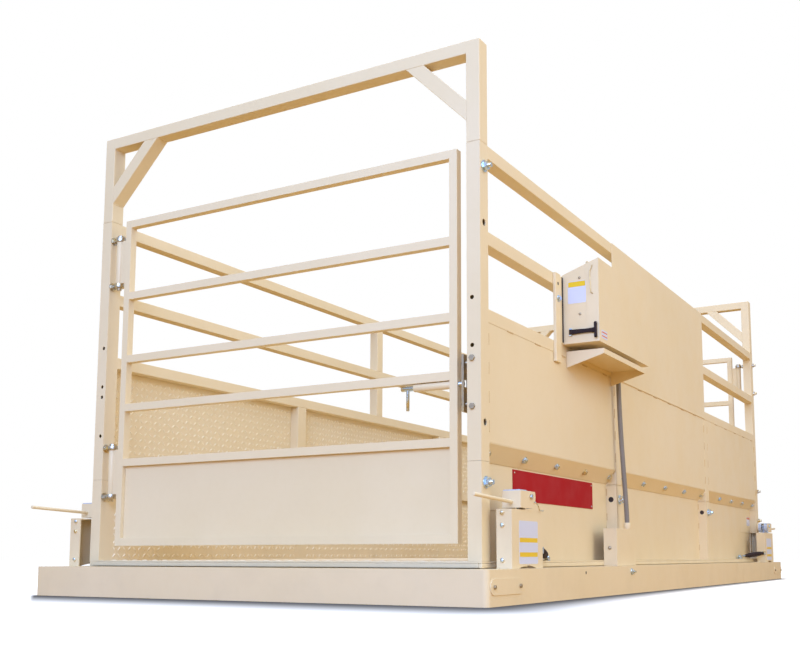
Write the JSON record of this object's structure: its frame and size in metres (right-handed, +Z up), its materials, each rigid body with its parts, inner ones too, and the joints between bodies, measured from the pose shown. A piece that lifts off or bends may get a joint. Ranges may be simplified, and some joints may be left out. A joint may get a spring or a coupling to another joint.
{
  "type": "livestock weighing crate",
  "caption": "Walk-through livestock scale: railed crate with a gate at each end on a live deck over a low load-cell base, with an indicator cabinet.",
  "frame": {"origin": "on the ground under the middle of the base frame", "axes": "+Z up, +Y along the crate from the front gate to the rear gate, +X to the side with the cabinet"},
  "size_m": [2.1969, 5.0374, 2.051],
  "materials": {
    "coat": "satin",
    "zinc": "satin",
    "rubber": "matte",
    "conduit": "matte",
    "indicator": "matte",
    "plate": "gloss"
  },
  "bodies": {
    "crate": {"base_frame": "coat", "base_beams": "coat", "base_covers": "coat", "cover_screws": "zinc", "load_cells": "zinc", "cell_spacers": "zinc", "load_buttons": "zinc", "deck_joists": "coat", "deck_lip": "coat", "deck_plate": "coat", "lower_posts": "coat", "hinge_posts": "coat", "latch_posts": "coat", "post_spigots": "zinc", "left_lower_frame": "coat", "right_lower_frame": "coat", "left_side_frame": "coat", "right_side_frame": "coat", "left_lower_sheets": "coat", "right_lower_sheets": "coat", "left_upper_sheets": "coat", "right_upper_sheets": "coat", "side_skirts": "coat", "skirt_bolts": "zinc", "shield_sheet": "coat", "front_arch": "coat", "rear_arch": "coat", "splice_bolts": "zinc", "eye_bolts": "zinc", "hinge_nuts": "zinc", "hinge_pins": "zinc", "bolt_keepers": "zinc", "keeper_screws": "zinc", "lock_stands": "coat", "lock_pivots": "zinc", "check_rods": "zinc", "check_sleeves": "rubber", "carrier_bars": "coat", "cabinet_case": "coat", "cabinet_hinge_pin": "zinc", "latch_anchor": "zinc", "cabinet_shelf": "coat", "weight_indicator": "indicator", "conduit": "conduit", "conduit_glands": "coat", "wiring_cover": "coat", "name_plate": "plate"},
    "front_gate": {"front_gate_frame": "coat", "front_gate_sheet": "coat"},
    "front_bolt": {"front_latch_bolt": "zinc"},
    "rear_gate": {"rear_gate_frame": "coat", "rear_gate_sheet": "coat"},
    "rear_bolt": {"rear_latch_bolt": "zinc"},
    "lever_front_right": {"lock_lever_front_right": "coat"},
    "lever_front_left": {"lock_lever_front_left": "coat"},
    "lever_rear_right": {"lock_lever_rear_right": "coat"},
    "lever_rear_left": {"lock_lever_rear_left": "coat"},
    "door": {"cabinet_door": "coat"},
    "strap": {"draw_latch": "rubber"},
    "stay": {"prop_rod": "zinc"}
  },
  "joints": [
    {"name": "front_gate_swing", "type": "hinge", "parent": "crate", "child": "front_gate", "pos_m": [-0.85532, -2.2375, 1], "axis": [0, 0, -1], "range_deg": [0, 90]},
    {"name": "front_bolt_slide", "type": "slide", "parent": "front_gate", "child": "front_bolt", "axis": [1, 0, 0], "range_m": [-0.06, 0.018]},
    {"name": "rear_gate_swing", "type": "hinge", "parent": "crate", "child": "rear_gate", "pos_m": [0.85532, 2.2375, 1], "axis": [0, 0, -1], "range_deg": [0, 90]},
    {"name": "rear_bolt_slide", "type": "slide", "parent": "rear_gate", "child": "rear_bolt", "axis": [-1, 0, 0], "range_m": [-0.06, 0.018]},
    {"name": "front_right_lock", "type": "hinge", "parent": "crate", "child": "lever_front_right", "pos_m": [1.0135, -2.0505, 0.376], "axis": [-1, 0, 0], "range_deg": [0, 180]},
    {"name": "front_left_lock", "type": "hinge", "parent": "crate", "child": "lever_front_left", "pos_m": [-1.0135, -2.1365, 0.376], "axis": [-1, 0, 0], "range_deg": [0, 180]},
    {"name": "rear_right_lock", "type": "hinge", "parent": "crate", "child": "lever_rear_right", "pos_m": [1.0135, 2.1365, 0.376], "axis": [1, 0, 0], "range_deg": [0, 180]},
    {"name": "rear_left_lock", "type": "hinge", "parent": "crate", "child": "lever_rear_left", "pos_m": [-1.0135, 2.0505, 0.376], "axis": [1, 0, 0], "range_deg": [0, 180]},
    {"name": "cabinet_door_lift", "type": "hinge", "parent": "crate", "child": "door", "pos_m": [1.06335, -1.15997, 1.38675], "axis": [0, -1, 0], "range_deg": [0, 105]},
    {"name": "draw_latch_swing", "type": "hinge", "parent": "crate", "child": "strap", "pos_m": [0.9942, -1.49737, 1.092], "axis": [0, 0, -1], "range_deg": [0, 100]},
    {"name": "stay_swing", "type": "hinge", "parent": "door", "child": "stay", "pos_m": [1.0905, -1.49277, 1.36871], "axis": [0, 1, 0], "range_deg": [0, 80]}
  ]
}
